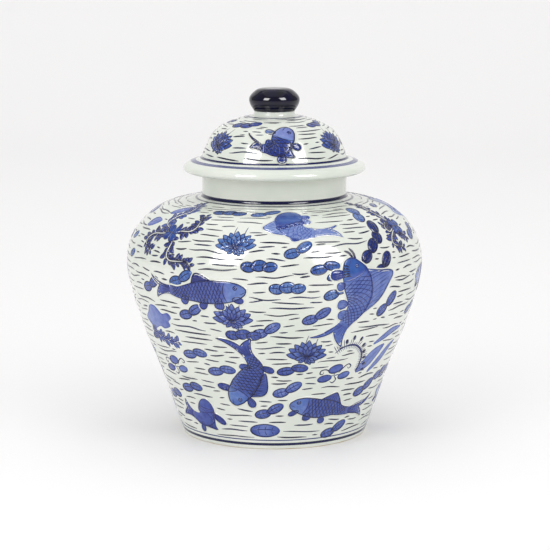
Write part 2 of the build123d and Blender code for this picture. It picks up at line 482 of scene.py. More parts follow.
# each piece with the profile's bare spots, and the node, body and slot that it stands for
clayPieces = (
    ("jar_wall", jarProfile(), isWiped, jar["segments"], glaze, "jar_body", "jar", "glazed_porcelain"),
    ("lid_wall", lidProfile(), lambda p: p.y < jar["rimUp"] + 0.05 and p.x < 72, lid["segments"], glaze,
     "lid_dome", "lid", "glazed_porcelain"),
    ("knob_wall", knobProfile(), lambda p: p.x < 16.5 and p.y < 281, knob["segments"], knobGlaze,
     "lid_knob", "lid", "cobalt_glaze"),
    ("lid_ring", collarProfile(), lambda p: True, lid["collarSegments"], glaze,
     "lid_collar", "lid", "bare_porcelain"),
)
for name, profile, isBare, segments, finish, node, body, slot in clayPieces:
    piece = throwPiece(name, profile, isBare, segments, wheel, finish, bareClay)
    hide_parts(node)
    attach(piece, body)
print("clay thrown")


# ---- painting, drawn in millimetres right and up from a spot on a wall ----


def makeWall(path, start):
    # a clay profile as radius and up for each along, with along 0 at the point nearest to start
    path = [path[0]] + [b for a, b in zip(path, path[1:]) if (b - a).length > 0.01]
    lengths = numpy.array(pathLengths(path))
    first = min(range(len(path)), key=lambda i: (path[i] - Vector(start)).length)
    return {
        "along": lengths - lengths[first],
        "radius": numpy.array([p.x for p in path]), "up": numpy.array([p.y for p in path]),
    }


def ontoWall(wall, spots):
    # places in metres and the directions out of the clay, for spots of turn and along
    turn, along = numpy.radians(spots[:, 0]), spots[:, 1]

    def side(name, shift=0.0):
        return numpy.interp(along + shift, wall["along"], wall[name])

    slope = numpy.stack((side("up", 0.6) - side("up", -0.6), side("radius", -0.6) - side("radius", 0.6)))
    slope /= numpy.linalg.norm(slope, axis=0)
    right, back = numpy.sin(turn), -numpy.cos(turn)
    radius = side("radius")
    places = numpy.stack((radius * right, radius * back, side("up")), axis=1) * mm
    return places, numpy.stack((slope[0] * right, slope[0] * back, slope[1]), axis=1)


def newSpot(wall, turn, along, lean=0, size=1, flip=False):
    return {"wall": wall, "turn": turn, "along": along, "lean": lean, "size": size, "flip": flip}


def within(spot, x, y, lean=0):
    # a spot inside another one's drawing
    turn, along = placed(spot, [(x, y)])[0]
    if spot["flip"]:
        lean = -lean
    return newSpot(spot["wall"], turn, along, spot["lean"] + lean, spot["size"], spot["flip"])


def placed(spot, points):
    points = numpy.array([tuple(p) for p in points], float) * spot["size"]
    if spot["flip"]:
        points[:, 0] *= -1
    c, s = math.cos(math.radians(spot["lean"])), math.sin(math.radians(spot["lean"]))
    along = spot["along"] + points[:, 0] * s + points[:, 1] * c
    across = (points[:, 0] * c - points[:, 1] * s) / numpy.interp(
        along, spot["wall"]["along"], spot["wall"]["radius"])
    return numpy.stack((spot["turn"] + numpy.degrees(across), along), axis=1)


def oneTurn(spots):
    # the same spots, with the turn nearest to the front
    spots[:, 0] -= 360 * round(spots[:, 0].mean() / 360)
    return spots


def newLayer():
    return {name: [] for name in ("spots", "faces", "edges", "tone", "fresh", "lift", "wide", "across")}


def addSheet(layer, spot, points, faces, tone, lift, fresh):
    # tone is how much pigment, fresh how blue it is, each one value or a function of the drawing's
    # own x and y, and lift is the film's height in millimetres, so the highest film is on top
    first = len(layer["spots"])
    tones = [tone(*p) for p in points] if callable(tone) else [tone] * len(points)
    blues = [fresh(*p) for p in points] if callable(fresh) else [fresh] * len(points)
    layer["spots"].extend(oneTurn(placed(spot, points)))
    layer["faces"].extend([first + i for i in (face[::-1] if spot["flip"] else face)] for face in faces)
    for name, values in (("tone", tones), ("fresh", blues), ("lift", [lift] * len(points)),
                         ("wide", [0.0] * len(points)), ("across", [(0.0, 0.0)] * len(points))):
        layer[name].extend(values)


def addWash(layer, spot, outline, tone, lift, fresh):
    # fills an outline with triangles small enough to bend with the clay
    gap = 2.6
    ring = numpy.array([tuple(p) for p in outline], float)
    low, high = ring.min(axis=0), ring.max(axis=0)
    spread = [
        (x + gap / 2 * (row % 2), y)
        for row, y in enumerate(numpy.arange(low[1] + gap / 3, high[1], gap * 0.87))
        for x in numpy.arange(low[0] + gap / 3, high[0], gap)
    ]
    points = list(map(tuple, ring))
    after = numpy.roll(ring, -1, axis=0)
    for x, y in spread:
        crossed = (ring[:, 1] > y) != (after[:, 1] > y)
        rise = numpy.where(crossed, after[:, 1] - ring[:, 1], 1)
        meets = ring[:, 0] + (y - ring[:, 1]) / rise * (after[:, 0] - ring[:, 0])
        clear = numpy.hypot(ring[:, 0] - x, ring[:, 1] - y).min() > gap * 0.42
        if (crossed & (x < meets)).sum() % 2 and clear:
            points.append((x, y))
    edges = [(i, (i + 1) % len(ring)) for i in range(len(ring))]
    filled = delaunay_2d_cdt([Vector(p) for p in points], edges, [], 1, 1e-5)
    addSheet(layer, spot, [tuple(p) for p in filled[0]], [list(f) for f in filled[2]], tone, lift, fresh)


def addStroke(layer, spot, path, width, tone, lift, fresh, ends=(0.3, 0.3), step=1.8):
    # one pull of the brush along a path, thinner at its ends
    path = evenly(path, step / spot["size"])
    share = numpy.linspace(0, 1, len(path))
    pull = 0.22  # share of the stroke over which it swells, and thins again
    taper = numpy.minimum(
        ends[0] + (1 - ends[0]) * share / pull, ends[1] + (1 - ends[1]) * (1 - share) / pull)
    first = len(layer["spots"])
    spots = oneTurn(placed(spot, path))
    flat = spots * numpy.stack((numpy.radians(numpy.interp(
        spots[:, 1], spot["wall"]["along"], spot["wall"]["radius"])), numpy.ones(len(spots))), axis=1)
    ahead = numpy.gradient(flat, axis=0)
    ahead /= numpy.maximum(numpy.linalg.norm(ahead, axis=1), 1e-6)[:, None]
    layer["spots"].extend(spots)
    layer["edges"].extend((first + i, first + i + 1) for i in range(len(path) - 1))
    layer["wide"].extend(width * spot["size"] ** 0.5 * numpy.clip(taper, 0, 1))
    layer["across"].extend(zip(ahead[:, 1], -ahead[:, 0]))
    for name, value in (("tone", tone), ("fresh", fresh), ("lift", lift)):
        layer[name].extend([value] * len(path))


def evenly(path, step):
    # the same path, in even steps
    path = corners(*path)
    lengths = pathLengths(path)
    count = max(2, round(lengths[-1] / step) + 1)
    spread = numpy.linspace(0, lengths[-1], count)
    return list(zip(*(numpy.interp(spread, lengths, [p[i] for p in path]) for i in (0, 1))))


def smoothPath(points, steps=6, loop=False):
    # a curve through every point, or round a loop of them
    points = corners(*points)
    if loop:
        points = [points[-1], *points, points[0], points[1]]
    else:
        points = [points[0] * 2 - points[1], *points, points[-1] * 2 - points[-2]]
    path = []
    for a, b, c, d in zip(points, points[1:], points[2:], points[3:]):
        for k in range(steps):
            t = k / steps
            path.append(0.5 * (
                2 * b + (c - a) * t + (2 * a - 5 * b + 4 * c - d) * t * t + (3 * b - a - 3 * c + d) * t**3))
    return path if loop else path + [points[-2]]


def bow(start, end, bulge):
    # a bent edge between two points, bulging left of the way from start to end
    start, end = corners(start, end)
    middle = (start + end) / 2 + Vector((start.y - end.y, end.x - start.x)) * bulge * 2
    shares = [k / 8 for k in range(8)]
    return [start * (1 - t) ** 2 + middle * 2 * t * (1 - t) + end * t * t for t in shares]


def oval(x, y, half, high, lean=0, steps=20, pinch=0.0):
    c, s = math.cos(math.radians(lean)), math.sin(math.radians(lean))
    ring = []
    for k in range(steps):
        angle = math.tau * k / steps
        a, b = half * math.cos(angle), high * math.sin(angle) * (1 - pinch * math.cos(angle))
        ring.append(Vector((x + a * c - b * s, y + a * s + b * c)))
    return ring


def addShape(layer, spot, ring, tone, lift, fresh, *line):
    # a wash with a line round it, given as addStroke takes it
    addWash(layer, spot, ring, tone, lift, fresh)
    addStroke(layer, spot, [*ring, ring[0], ring[1]], *line)


def leaveWhite(layer, spot, path, width):
    # bare glaze round a shape, over whatever is painted behind
    addStroke(layer, spot, path, width, -0.4, 0.12, 0.0, (1, 1))


# depth of a koi's body from its nose to the root of its tail, as a share of the deepest
koiDepth = (
    (0, 0.10), (0.03, 0.38), (0.1, 0.66), (0.2, 0.87), (0.36, 1),
    (0.55, 0.94), (0.75, 0.66), (0.9, 0.45), (1, 0.4),
)


def koiBody(fish):
    # a function from a share of the body's length and of its depth to the drawing's x and y
    spine = corners(*evenly(smoothPath(fish["spine"]), 1.0))
    total = len(spine) - 1

    def at(share, depth):
        i = min(int(share * total), total - 1)
        here = spine[i].lerp(spine[i + 1], share * total - i)
        a, b = spine[max(i - 3, 0)], spine[min(i + 4, total)]
        ahead = (b - a).normalized()
        side = Vector((ahead.y, -ahead.x)) * fish["back"]
        reach = fish["deep"] * numpy.interp(share, *zip(*koiDepth))
        return here + side * depth * reach

    return at, pathLengths(spine)[-1]


def paintTail(layer, spot, fish, at, look):
    # two pointed lobes with a deep notch between them
    base, fresh, line = look
    rootBack, rootBelly, root = at(0.98, 0.95), at(0.98, -0.95), at(0.92, 0)
    tips, bulge = corners(*fish["tail"]), fish["back"]
    rim = bow(tips[0], tips[1], -0.10 * bulge) + bow(tips[1], tips[2], -0.10 * bulge) + [tips[2]]
    tail = bow(rootBack, tips[0], 0.09 * bulge) + rim[:-1] + bow(tips[2], rootBelly, 0.09 * bulge)
    tail.append(rootBelly)
    addWash(layer, spot, tail, lambda x, y: base + 0.16 - 0.006 * (Vector((x, y)) - root).length, 0.13, fresh)
    leaveWhite(layer, spot, tail, 2.6)
    addStroke(layer, spot, tail, 0.8, line, 0.19, fresh)
    for k in range(1, 10):
        goal = rim[round(k / 10 * (len(rim) - 1))]
        start = rootBack.lerp(rootBelly, 0.15 + 0.7 * k / 10)
        ray = bow(start, start.lerp(goal, 0.88), 0.03 * (5 - k) * 0.3)
        addStroke(layer, spot, ray, 0.45, line - 0.12, 0.18, fresh)


def paintFins(layer, spot, fish, at, look):
    # the dorsal fin with its rays, and the paired fins, each a rounded lobe
    base, fresh, line = look
    dorsal = fish["dorsal"]
    first, last, rays = dorsal["from"], dorsal["to"], dorsal["rays"]
    foot = [at(first + (last - first) * k / 10, 0.82) for k in range(11)]
    crest = smoothPath([at(first, 0.95), *dorsal["rim"], at(last, 0.95)], 7)
    addWash(layer, spot, foot + crest[::-1], base + dorsal["darker"], 0.15, fresh)
    leaveWhite(layer, spot, crest, 2.8)
    addStroke(layer, spot, crest, 0.9, line + 0.04, 0.21, fresh)
    for k in range(1, rays):
        place = round(k / rays * 10)
        start = foot[place].lerp(foot[min(10, place + 1)], (k / rays * 10) % 1 * 0.5)
        goal = crest[round((0.1 + 0.85 * k / rays) * (len(crest) - 1))]
        addStroke(layer, spot, bow(start, start.lerp(goal, 0.92), 0.05), 0.5, line - 0.04, 0.20, fresh)
    for x, y, tipX, tipY, width, depth in fish["fins"]:
        start, tip = corners((x, y), (tipX, tipY))
        ahead = tip - start
        lean = math.degrees(math.atan2(ahead.y, ahead.x))
        lobe = oval(*start.lerp(tip, 0.5), ahead.length * 0.54, width / 2, lean, pinch=-0.28)
        addWash(layer, spot, lobe, base + depth, 0.16, fresh)
        rim = [*lobe, lobe[0], lobe[1]]
        leaveWhite(layer, spot, rim, 2.4)
        addStroke(layer, spot, rim, 0.75, line, 0.215, fresh)
        side = Vector((-ahead.y, ahead.x)).normalized() * width
        for k in (-1, 0, 1):
            ray = [start + side * 0.13 * k, start.lerp(tip, 0.8) + side * 0.24 * k]
            addStroke(layer, spot, ray, 0.42, line - 0.08, 0.205, fresh)


def paintBody(layer, spot, fish, at, look, head):
    # lighter on the head and belly and darker along the back
    base, fresh, line = look
    steps, rows = 34, 10
    points, faces, tones, blues = [], [], {}, {}
    for i in range(steps + 1):
        scaled = min(1, max(0, (i / steps - head) / 0.06))
        for j in range(rows + 1):
            depth = 2 * j / rows - 1
            here = tuple(at(i / steps, depth))
            corner = len(points)
            points.append(here)
            shade = fish.get("headShade", -0.13) * (1 - scaled) + 0.11 * depth**3
            tones[here] = base + shade + 0.05 * scaled * (1 - abs(depth))
            onHead = corner < head * steps * (rows + 1)
            blues[here] = fish.get("headFresh", fresh + 0.3) if onHead else fresh
            if i < steps and j < rows:
                face = [corner, corner + rows + 1, corner + rows + 2, corner + 1]
                faces.append(face if fish["back"] < 0 else face[::-1])
    addSheet(layer, spot, points, faces, lambda x, y: tones[(x, y)], 0.18, lambda x, y: blues[(x, y)])
    rim = [at(k / 40, 1) for k in range(40, -1, -1)] + [at(k / 40, -1) for k in range(41)]
    rim = smoothPath(rim[::2], 3)
    leaveWhite(layer, spot, rim, 3.0)
    addStroke(layer, spot, rim, 0.85, line + 0.04, 0.245, fresh)


def paintScales(layer, spot, fish, at, look, head, length):
    # two families of slanted strokes across the body
    pitch = fish.get("pitch", 3.4)
    for slant in (1, -1):
        for k in range(-5, int(length * 0.72 / pitch) + 5):
            path = []
            for j in range(13):
                depth = j / 6 - 1
                share = head + 0.05 + (k * pitch + (1 + slant * depth) * fish["deep"] * 0.42) / length
                if head + 0.03 + 0.02 * (1 - depth * depth) < share < 0.97:
                    path.append(at(share, depth * 0.97))
            if len(path) > 2:
                addStroke(layer, spot, path, 0.66, look[2] + 0.02, 0.235, look[1], (0.7, 0.7))


def paintFace(layer, spot, fish, at, look, head):
    base, fresh, line = look
    gill = [at(head + 0.035 * (1 - (k / 5 - 1) ** 2), 0.93 * (k / 5 - 1)) for k in range(11)]
    addStroke(layer, spot, gill, 0.85, line, 0.24, fresh)
    if fish.get("faceShown", True):
        eye = at(head * 0.52, 0.42)
        for size, tone, lift in ((1.9, line, 0.23), (1.2, base - 0.1, 0.245), (0.6, 1.0, 0.26)):
            addWash(layer, spot, oval(*eye, size, size, 0, 14), tone, lift, fresh)
        addStroke(layer, spot, bow(at(0.015, -0.25), at(head * 0.42, -0.42), 0.1), 0.5, line, 0.24, fresh)
    # loose dark gill stripes on the belly side of some heads
    for k in range(fish.get("stripes", 0)):
        share = head * (0.35 + 0.55 * k / fish["stripes"])
        stripe = bow(at(share, -0.95), at(share + 0.04, -0.3), 0.08)
        addStroke(layer, spot, stripe, 1.2, line + 0.15, 0.24, fresh, (1, 0.4))
    # and a row of dark scallops where the head meets the body of others
    for k in range(fish.get("scallops", 0)):
        ring = oval(*at(head + 0.045, 0.9 - 1.8 * k / (fish["scallops"] - 1)), 2.5, 2.3, 0, 14)
        addShape(layer, spot, ring, base + 0.42, 0.235, fresh + 0.2, 0.6, line + 0.35, 0.25, fresh)
    for path in fish.get("barbels", ()):
        addStroke(layer, spot, smoothPath(path), 2.0, line + 0.2, 0.22, fresh, (0.9, 0.3))


def paintKoi(layer, spot, fish):
    at, length = koiBody(fish)
    look = fish["tone"], fish["fresh"], fish.get("line", 0.84)
    head = fish.get("head", 0.24)
    paintTail(layer, spot, fish, at, look)
    paintFins(layer, spot, fish, at, look)
    paintBody(layer, spot, fish, at, look, head)
    paintScales(layer, spot, fish, at, look, head, length)
    paintFace(layer, spot, fish, at, look, head)


def paintPad(layer, spot, ovals, tone, fresh):
    # water-lily pads: overlapping ovals, each with a midrib and a few side veins
    for n, (x, y, half, high, lean) in enumerate(ovals):
        low = 0.05 + 0.035 * n
        piece = within(spot, x, y, lean)
        addShape(layer, piece, oval(0, 0, half, high, 0, 26),
                 lambda a, b: tone - 0.16 + 0.022 * abs(a) - 0.04 * b / high, low, fresh,
                 1.0, tone + 0.42, low + 0.02, fresh, (0.3, 0.3), 1.4)
        midrib = bow((-half * 0.9, 0), (half * 0.9, 0), 0.05)
        addStroke(layer, piece, midrib, 0.8, tone + 0.36, low + 0.018, fresh)
        for k in (-0.45, 0.0, 0.45):
            for side in (1, -1):
                end = (half * (k + 0.16), side * high * 0.86 * math.sqrt(1 - (k + 0.16) ** 2))
                vein = bow((half * k, 0), end, 0.08 * side)
                addStroke(layer, piece, vein, 0.65, tone + 0.32, low + 0.016, fresh)


def paintLotus(layer, spot, tone, fresh):
    # a water lily seen from the side: pointed petals in three rows, the nearest on top
    rows = (
        ((-82, 17.5), (83, 18), (-63, 18), (65, 18), (-43, 17), (46, 17), (-21, 16), (25, 15.5), (2, 16.5)),
        ((-70, 13), (70, 12.5), (-36, 13), (40, 12.5), (-11, 12.5), (14, 12)),
        ((-104, 9.5), (101, 11), (123, 10), (-133, 8), (147, 8.5), (172, 6.5)),
    )
    for x, top in ((-2.5, 18), (6.5, 17.5)):
        addStroke(layer, spot, bow((x, 6), (x + 2.5, top), 0.04), 0.6, tone + 0.35, 0.05, fresh)
    lift = 0.05
    addWash(layer, spot, oval(0, -4, 4.5, 3.6), tone + 0.22, lift, fresh)
    for row, petals in enumerate(rows):
        for angle, length in petals:
            piece = within(spot, 0, -4.5, 90 - angle)
            bulge = 0.14 + 0.9 / length
            petal = bow((0.8, 0), (length, 0), -bulge) + bow((length, 0), (0.8, 0), -bulge)
            lift += 0.006
            addShape(layer, piece, petal, lambda x, y: tone - 0.04 * row + 0.2 - 0.34 * x / length, lift,
                     fresh, 0.75, tone + 0.42, lift + 0.014, fresh, (1, 1), 1.4)
            addStroke(layer, piece, [(1, 0), (length * 0.72, 0)], 0.5, tone + 0.2, lift + 0.012, fresh)


def paintFlower(layer, spot):
    # four broad petals with a dark line round each
    for k, angle in enumerate((35, 125, 215, 305)):
        piece = within(spot, 0, 0, angle)
        addShape(layer, piece, oval(4.9, 0, 4.3, 3.7, 0, 20, -0.25), lambda x, y: 0.58 + 0.02 * x,
                 0.14 + 0.01 * k, 0.9, 0.8, 0.97, 0.17 + 0.01 * k, 0.1)
        addStroke(layer, piece, [(2, 0), (6.5, 0)], 0.45, 0.9, 0.17 + 0.01 * k, 0.1)


def paintSprig(layer, spot, arm, leaf, tone, vein=True):
    # a stem with small dark leaves set unevenly along it, and a thin line left white up its middle
    path = evenly(smoothPath(arm), 1.5)
    addStroke(layer, spot, path, 2.6 if vein else 1.4, tone, 0.08, 0.05, (0.9, 0.3))
    if vein:
        addStroke(layer, spot, path[:max(3, int(len(path) * 0.8))], 0.8, -0.4, 0.13, 0.0)
    for i in range(1, len(path) - 1, 2):
        ahead = Vector(path[i + 1]) - Vector(path[i - 1])
        facing = math.degrees(math.atan2(ahead.y, ahead.x))
        for side in (1, -1):
            wobble = math.sin(i * 2.3 + side * 1.1 + arm[0][0])
            size = leaf * (1 - 0.25 * i / len(path)) * (0.95 + 0.2 * wobble)
            piece = within(spot, *path[i], facing + side * (50 + 22 * wobble))
            ring = oval(size * 0.62 + 0.6, 0, size / 2, size * 0.27, 0, 14, 0.35)
            addShape(layer, piece, ring, tone - 0.3, 0.06, 0.3, 0.75, tone + 0.1, 0.09, 0.05, (0.3, 0.3), 1.3)


def paintLeaf(layer, spot, path, width, tone, fresh):
    # a long pointed leaf along a path
    path = corners(*evenly(smoothPath(path), 2))
    left, right = [], []
    for i, p in enumerate(path):
        ahead = (path[min(i + 1, len(path) - 1)] - path[max(i - 1, 0)]).normalized()
        reach = width / 2 * math.sin(math.pi * (0.06 + 0.92 * i / (len(path) - 1))) ** 0.8
        out = Vector((-ahead.y, ahead.x)) * reach
        left.append(p + out)
        right.append(p - out)
    addShape(layer, spot, right + left[::-1], tone, 0.055, fresh, 0.5, tone + 0.25, 0.075, fresh)
    addStroke(layer, spot, path[1:-1], 0.5, tone + 0.2, 0.075, fresh)


def paintWeed(layer, spot, arm):
    # a curled water plant: a stem with fine stalks on both sides, and a bud on every third
    tone = 0.92
    path = corners(*evenly(smoothPath(arm), 1.9))
    addStroke(layer, spot, path, 1.7, tone, 0.09, 0.15, (1, 0.3))
    for i in range(1, len(path) - 1):
        ahead = (path[i + 1] - path[i - 1]).normalized()
        out, start = Vector((-ahead.y, ahead.x)), path[i]
        tip = start - out * (4.8 + 2.4 * math.sin(i * 1.7)) - ahead * 0.6
        addStroke(layer, spot, [start, tip], 0.6, tone, 0.07, 0.15)
        addStroke(layer, spot, [start, start + out * 3.4], 0.55, tone - 0.1, 0.07, 0.15)
        if i % 3 == 1:
            bud = oval(*tip, 2.3, 1.5, math.degrees(math.atan2(-out.y, -out.x)), 14)
            addWash(layer, spot, bud, tone + 0.05, 0.085, 0.15)


def paintCluster(layer, spot):
    # three round leaves on short stalks, with curled tendrils between them
    tone, fresh = 0.62, 0.2
    leaves = ((-8.3, -4.2, 6.4, 3.4, 8), (0.6, 4.6, 6.8, 4, 16), (10, -2.8, 6, 3.2, 14))
    curls = (
        [(-3, 0), (-8, 4.5), (-13, 4), (-13.5, 0.8), (-10.8, 0.5), (-10.6, 2.4)],
        [(4, 0), (9, 6), (13, 8), (15.6, 5.6), (13.4, 3.6), (12, 5.2)],
        [(0, -2), (2.4, -6), (0, -9), (-3, -7.6)],
    )
    for k, (x, y, *shape) in enumerate(leaves):
        addStroke(layer, spot, [(0, -2), (x * 0.5, y * 0.5)], 0.9, tone + 0.25, 0.06, fresh)
        addShape(layer, spot, oval(x, y, *shape), tone - 0.08 * k, 0.07 + 0.01 * k, fresh,
                 0.9, tone + 0.32, 0.095 + 0.01 * k, fresh, (0.3, 0.3), 1.2)
    for curl in curls:
        addStroke(layer, spot, smoothPath(curl), 1.1, tone + 0.35, 0.06, fresh, step=0.8)


def paintTree():
    # raises flat washes and brush lines into thin closed films that follow the clay
    tree, given, result = newTree("paintedFilm", (("Pigment", "Material"), ("Sink", "Float")))
    seamGap, sinkPerLift = 1.5e-6, 0.2
    drawing = given["Geometry"]
    held = {
        name: addNode(tree, "GeometryNodeInputNamedAttribute", {"Name": name}, data_type=kind)
        for kind, names in (("FLOAT", "wide lift side"), ("FLOAT_VECTOR", "out mapSpot mapSide"))
        for name in names.split()
    }
    isLine = addNode(tree, "ShaderNodeMath", (held["wide"], 0.0), operation="GREATER_THAN")
    lines = addNode(tree, "GeometryNodeMeshToCurve", {"Mesh": drawing, "Selection": isLine})
    stood = addNode(tree, "GeometryNodeSetCurveNormal", {"Curve": lines, "Normal": held["out"]}, mode="FREE")
    brush = addNode(tree, "GeometryNodeCurvePrimitiveLine", {"Start": (0, -0.5, 0), "End": (0, 0.5, 0)})
    place = addNode(tree, "ShaderNodeSeparateXYZ", (addNode(tree, "GeometryNodeInputPosition"),))
    sided = addNode(tree, "GeometryNodeStoreNamedAttribute", {
        "Geometry": brush, "Name": "side", "Value": place.outputs["Y"],
    }, data_type="FLOAT", domain="POINT")
    ribbon = addNode(tree, "GeometryNodeCurveToMesh", {
        "Curve": stood, "Profile Curve": sided, "Scale": held["wide"],
    })
    mapStep = addNode(tree, "ShaderNodeVectorMath", {
        0: held["mapSide"], "Scale": held["side"],
    }, operation="SCALE")
    mapHere = addNode(tree, "ShaderNodeVectorMath", (held["mapSpot"], mapStep), operation="ADD")
    spread = addNode(tree, "GeometryNodeStoreNamedAttribute", {
        "Geometry": ribbon, "Name": "mapSpot", "Value": mapHere,
    }, data_type="FLOAT_VECTOR", domain="POINT")
    isWash = addNode(tree, "ShaderNodeMath", (held["wide"], 1e-7), operation="LESS_THAN")
    washes = addNode(tree, "GeometryNodeSeparateGeometry", (drawing, isWash), domain="POINT")
    flat = addNode(tree, "GeometryNodeJoinGeometry", (washes,))
    tree.links.new(spread.outputs[0], flat.inputs[0])
    sunk = addNode(tree, "ShaderNodeMath", (held["lift"], sinkPerLift), operation="MULTIPLY")
    depth = addNode(tree, "ShaderNodeMath", (given["Sink"], sunk), operation="ADD")
    below = addNode(tree, "ShaderNodeMath", (depth, -1.0), operation="MULTIPLY")
    down = addNode(tree, "ShaderNodeVectorMath", {0: held["out"], "Scale": below}, operation="SCALE")
    base = addNode(tree, "GeometryNodeSetPosition", {"Geometry": flat, "Offset": down})
    height = addNode(tree, "ShaderNodeMath", (depth, held["lift"]), operation="ADD")
    rise = addNode(tree, "ShaderNodeVectorMath", {0: held["out"], "Scale": height}, operation="SCALE")
    raised = addNode(tree, "GeometryNodeExtrudeMesh", {
        "Mesh": base, "Offset": rise, "Offset Scale": 1.0, "Individual": False,
    }, mode="FACES")
    under = addNode(tree, "GeometryNodeFlipFaces", (base,))
    film = addNode(tree, "GeometryNodeJoinGeometry", (raised,))
    tree.links.new(under.outputs[0], film.inputs[0])
    closed = addNode(tree, "GeometryNodeMergeByDistance", {"Geometry": film, "Distance": seamGap})
    mapped = addNode(tree, "GeometryNodeStoreNamedAttribute", {
        "Geometry": closed, "Name": "OFBake", "Value": held["mapSpot"],
    }, data_type="FLOAT2", domain="CORNER")
    smooth = addNode(tree, "GeometryNodeSetShadeSmooth", {"Geometry": mapped, "Shade Smooth": True})
    real = addNode(tree, "GeometryNodeRealizeInstances", (smooth,))
    inked = addNode(tree, "GeometryNodeSetMaterial", {"Geometry": real, "Material": given["Pigment"]})
    tree.links.new(inked.outputs[0], result.inputs[0])
    return tree


def paintPiece(name, layer, wall, tree, pigment):
    # a layer's drawing as a piece of thin cobalt film on the clay
    spots = numpy.array(layer["spots"])
    places, outs = ontoWall(wall, spots)
    start = bpy.data.meshes.new(name + "Drawing")
    start.from_pydata(places.tolist(), [tuple(e) for e in layer["edges"]], layer["faces"])
    start.update()
    span = wall["along"][-1] - wall["along"][0]
    radius = numpy.interp(spots[:, 1], wall["along"], wall["radius"])
    wide = numpy.array(layer["wide"])
    across = numpy.array(layer["across"]) * wide[:, None]
    zero = numpy.zeros(len(spots))
    putAttribute(start, "out", "FLOAT_VECTOR", outs)
    # the map is the wall unrolled, a little inside the sheet so that nothing runs off its edges
    mapWide, mapHigh = 0.88, 0.98
    up = (spots[:, 1] - wall["along"][0]) / span
    mapSpot = 0.5 + mapWide * spots[:, 0] / 360, 0.01 + mapHigh * up, zero
    mapSide = mapWide * across[:, 0] / (math.tau * radius), mapHigh * across[:, 1] / span, zero
    putAttribute(start, "mapSpot", "FLOAT_VECTOR", numpy.stack(mapSpot, axis=1))
    putAttribute(start, "mapSide", "FLOAT_VECTOR", numpy.stack(mapSide, axis=1))
    for label, scale in (("wide", mm), ("lift", mm), ("tone", 1), ("fresh", 1)):
        putAttribute(start, label, "FLOAT", numpy.array(layer[label]) * scale)
    piece = grow(name, start, tree, {"Pigment": pigment, "Sink": 0.05 * mm})
    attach(piece, "jar" if wall is jarWall else "lid")


